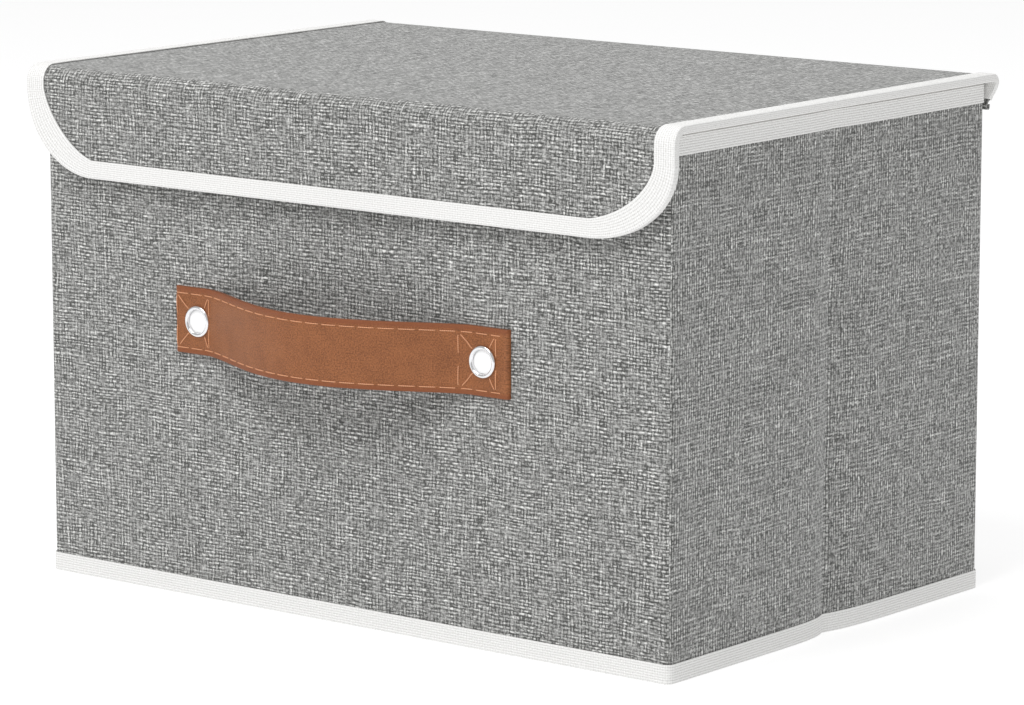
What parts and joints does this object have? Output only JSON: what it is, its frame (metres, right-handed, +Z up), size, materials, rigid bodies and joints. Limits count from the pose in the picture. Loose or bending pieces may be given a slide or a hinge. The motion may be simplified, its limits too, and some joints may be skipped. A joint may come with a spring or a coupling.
{
  "type": "fabric storage box",
  "caption": "Lidded cloth storage box with taped edges, a front flap, a leather strap handle, and walls that fold flat.",
  "frame": {"origin": "on the surface the box stands on, under the middle of the wall cloth's outline", "axes": "+X to the right along the front, -Y out of the front, +Z up"},
  "size_m": [0.391, 0.2873, 0.2525],
  "materials": {
    "grey_cloth": "matte, linen-look weave",
    "white_tape": "matte, ribbed webbing",
    "board": "matte white-faced board",
    "lining": "matte",
    "leather": "satin, fine grain",
    "leather_backing": "matte flesh side",
    "steel": "bright plated"
  },
  "bodies": {
    "back": {"back_cloth": "grey_cloth", "back_board": "board", "back_lining": "lining", "back_rim_tape": "white_tape", "back_base_tape": "white_tape", "floor_cloth": "grey_cloth", "floor_lining": "lining"},
    "right_rear": {"right_rear_cloth": "grey_cloth", "right_rear_board": "board", "right_rear_lining": "lining", "right_rear_rim_tape": "white_tape", "right_rear_base_tape": "white_tape"},
    "right_front": {"right_front_cloth": "grey_cloth", "right_front_board": "board", "right_front_lining": "lining", "right_front_rim_tape": "white_tape", "right_front_base_tape": "white_tape"},
    "front": {"front_cloth": "grey_cloth", "front_board": "board", "front_lining": "lining", "front_rim_tape": "white_tape", "front_base_tape": "white_tape", "strap_leather": "leather", "strap_backing": "leather_backing", "left_eyelet": "steel", "right_eyelet": "steel", "left_washer": "steel", "right_washer": "steel"},
    "left_rear": {"left_rear_cloth": "grey_cloth", "left_rear_board": "board", "left_rear_lining": "lining", "left_rear_rim_tape": "white_tape", "left_rear_base_tape": "white_tape"},
    "left_front": {"left_front_cloth": "grey_cloth", "left_front_board": "board", "left_front_lining": "lining", "left_front_rim_tape": "white_tape", "left_front_base_tape": "white_tape"},
    "hinge": {"hinge_cloth": "grey_cloth", "hinge_lining": "lining", "hinge_right_tape": "white_tape", "hinge_left_tape": "white_tape"},
    "lid": {"lid_cloth": "grey_cloth", "lid_board": "board", "lid_lining": "lining", "lid_right_tape": "white_tape", "lid_left_tape": "white_tape"},
    "flap": {"flap_cloth": "grey_cloth", "flap_board": "board", "flap_lining": "lining", "flap_tape": "white_tape"}
  },
  "joints": [
    {"name": "hinge_fold", "type": "hinge", "parent": "back", "child": "hinge", "pos_m": [0, 0.1294, 0.2374], "axis": [1, 0, 0], "range_deg": [-150, 0], "deforming": ["hinge_cloth", "hinge_lining", "hinge_right_tape", "hinge_left_tape"]},
    {"name": "lid_hinge", "type": "hinge", "parent": "hinge", "child": "lid", "pos_m": [0, 0.1294, 0.2505], "axis": [1, 0, 0], "range_deg": [-89, 0]},
    {"name": "flap_fold", "type": "hinge", "parent": "lid", "child": "flap", "pos_m": [0, -0.13046, 0.25025], "axis": [-1, 0, 0], "range_deg": [0, 90]},
    {"name": "wall_fold", "type": "hinge", "parent": "back", "child": "right_rear", "pos_m": [0.18535, 0.12075, 0], "axis": [0, 0, -1], "range_deg": [0, 89], "deforming": ["floor_cloth", "floor_lining"]},
    {"name": "right_crease", "type": "hinge", "parent": "right_rear", "child": "right_front", "pos_m": [0.19105, 0, 0], "axis": [0, 0, 1], "range_deg": [0, 178]},
    {"name": "front_corner", "type": "hinge", "parent": "right_front", "child": "front", "pos_m": [0.18535, -0.12075, 0], "axis": [0, 0, -1], "range_deg": [0, 89]},
    {"name": "left_corner", "type": "hinge", "parent": "back", "child": "left_rear", "pos_m": [-0.18535, 0.12075, 0], "axis": [0, 0, 1], "range_deg": [0, 89]},
    {"name": "left_crease", "type": "hinge", "parent": "left_rear", "child": "left_front", "pos_m": [-0.19105, 0, 0], "axis": [0, 0, -1], "range_deg": [0, 178]}
  ],
  "couplings": [
    {"joint": "right_crease", "follows": "wall_fold", "ratio": 2},
    {"joint": "front_corner", "follows": "wall_fold", "ratio": 1},
    {"joint": "left_corner", "follows": "wall_fold", "ratio": 1},
    {"joint": "left_crease", "follows": "wall_fold", "ratio": 2}
  ]
}
